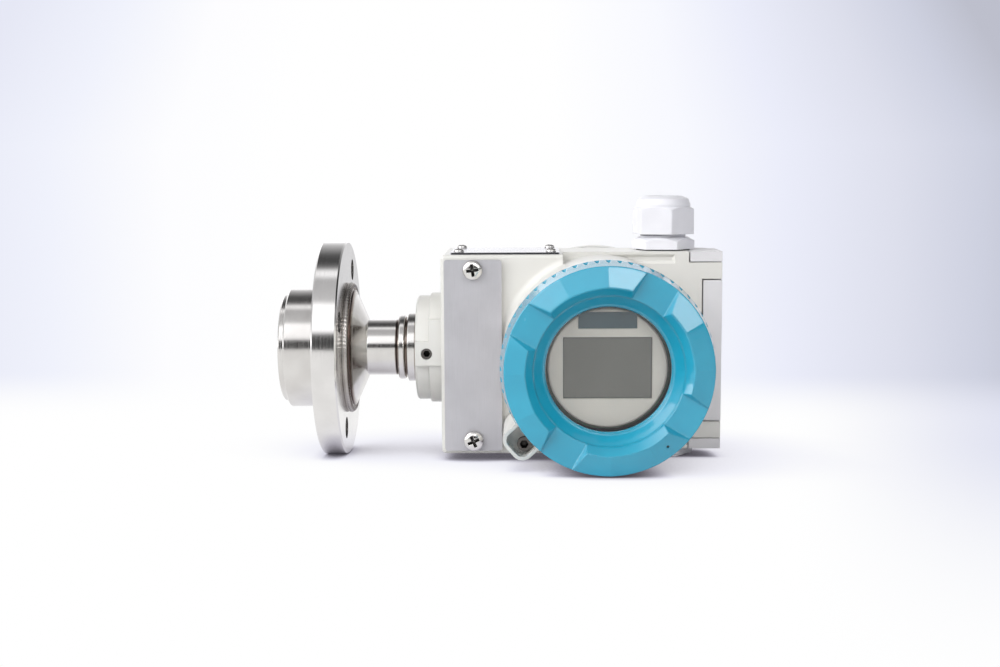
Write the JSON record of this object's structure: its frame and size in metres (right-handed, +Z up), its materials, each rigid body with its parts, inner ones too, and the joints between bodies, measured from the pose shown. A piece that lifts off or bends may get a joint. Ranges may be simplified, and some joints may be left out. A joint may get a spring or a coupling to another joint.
{
  "type": "pressure transmitter",
  "caption": "Pressure transmitter with a flush hygienic flange, a swivelling display housing, faceted screw-on covers, a hinged key cover and a cable gland.",
  "frame": {"origin": "centre of the flange's seating face, on the process axis", "axes": "+X along the process axis from the flange towards the key cover, +Z up along the cable gland, -Y the way the display looks"},
  "size_m": [0.1826, 0.1394, 0.1086],
  "materials": {
    "stainless_steel": "polished",
    "spring_steel": "satin",
    "painted_casting": "satin",
    "blue_casting": "gloss",
    "window_glass": "polished",
    "black_ring": "satin",
    "seal_rubber": "matte",
    "white_polyamide": "satin",
    "grey_polyamide": "satin",
    "bezel_plastic": "satin",
    "lcd_panel": "gloss",
    "field_plate": "satin",
    "circuit_board": "satin",
    "potting": "matte",
    "terminal_plastic": "matte",
    "plate_metal": "satin",
    "bright_screw": "polished",
    "key_plastic": "matte"
  },
  "bodies": {
    "process_connection": {"process_flange": "stainless_steel", "seal_body": "stainless_steel", "process_diaphragm": "stainless_steel", "pressure_cell": "stainless_steel", "neck_o_ring": "seal_rubber", "neck_retaining_ring": "spring_steel"},
    "housing": {"housing": "painted_casting", "swivel_set_screw": "bright_screw", "front_cover_lock_screw": "bright_screw", "rear_cover_lock_screw": "bright_screw", "tag_plate": "plate_metal", "tag_plate_screws": "bright_screw", "nameplate": "plate_metal", "nameplate_screws": "bright_screw", "electronics_module": "potting", "display_board": "circuit_board", "display_bezel": "bezel_plastic", "display_lcd": "lcd_panel", "display_field_plate": "field_plate", "terminal_block": "terminal_plastic", "terminal_screws": "bright_screw", "inner_earth_screw": "bright_screw", "outer_earth_clamp": "bright_screw", "outer_earth_screw": "bright_screw", "gland_gasket": "seal_rubber", "gland_body": "white_polyamide", "plug_gasket": "seal_rubber", "blanking_plug": "white_polyamide", "key_cover_pivots": "bright_screw", "button_guide": "key_plastic"},
    "front_cover_pane": {"window_glass": "window_glass", "glass_retaining_ring": "black_ring", "front_cover_seal": "seal_rubber"},
    "front_cover": {"front_cover": "blue_casting"},
    "rear_cover_seal": {"rear_cover_seal": "seal_rubber"},
    "rear_cover": {"rear_cover": "blue_casting"},
    "key_cover": {"key_cover": "grey_polyamide"},
    "mode_button": {"mode_button": "key_plastic"},
    "up_button": {"up_button": "key_plastic"},
    "down_button": {"down_button": "key_plastic"},
    "gland_insert": {"gland_insert": "seal_rubber"},
    "gland_nut": {"gland_cap_nut": "white_polyamide"}
  },
  "joints": [
    {"name": "housing_swivel", "type": "hinge", "parent": "process_connection", "child": "housing", "pos_m": [0.045, 0, 0], "axis": [1, 0, 0], "range_deg": [-180, 180]},
    {"name": "front_cover_slide", "type": "slide", "parent": "housing", "child": "front_cover_pane", "axis": [0, -1, 0], "range_m": [0, 0.01]},
    {"name": "front_cover_turn", "type": "hinge", "parent": "front_cover_pane", "child": "front_cover", "pos_m": [0.1156, -0.07, 0], "axis": [0, -1, 0], "range_deg": [0, 1800]},
    {"name": "rear_cover_slide", "type": "slide", "parent": "housing", "child": "rear_cover_seal", "axis": [0, 1, 0], "range_m": [0, 0.01]},
    {"name": "rear_cover_turn", "type": "hinge", "parent": "rear_cover_seal", "child": "rear_cover", "pos_m": [0.1156, 0.05, 0], "axis": [0, 1, 0], "range_deg": [0, 1800]},
    {"name": "key_cover_hinge", "type": "hinge", "parent": "housing", "child": "key_cover", "pos_m": [0.1574, 0.0095, 0], "axis": [0, 0, 1], "range_deg": [0, 100]},
    {"name": "mode_button_press", "type": "slide", "parent": "housing", "child": "mode_button", "axis": [-1, 0, 0], "range_m": [0, 0.0012], "stiffness_N_per_m": 400},
    {"name": "up_button_press", "type": "slide", "parent": "housing", "child": "up_button", "axis": [-1, 0, 0], "range_m": [0, 0.0012], "stiffness_N_per_m": 400},
    {"name": "down_button_press", "type": "slide", "parent": "housing", "child": "down_button", "axis": [-1, 0, 0], "range_m": [0, 0.0012], "stiffness_N_per_m": 400},
    {"name": "gland_nut_slide", "type": "slide", "parent": "housing", "child": "gland_insert", "axis": [0, 0, 1], "range_m": [0, 0.006]},
    {"name": "gland_nut_turn", "type": "hinge", "parent": "gland_insert", "child": "gland_nut", "pos_m": [0.1427, 0, 0.055], "axis": [0, 0, 1], "range_deg": [0, 1440]}
  ],
  "couplings": [
    {"joint": "front_cover_slide", "follows": "front_cover_turn", "m_per_rad": 0.000318},
    {"joint": "rear_cover_slide", "follows": "rear_cover_turn", "m_per_rad": 0.000318},
    {"joint": "gland_nut_slide", "follows": "gland_nut_turn", "m_per_rad": 0.000238}
  ]
}
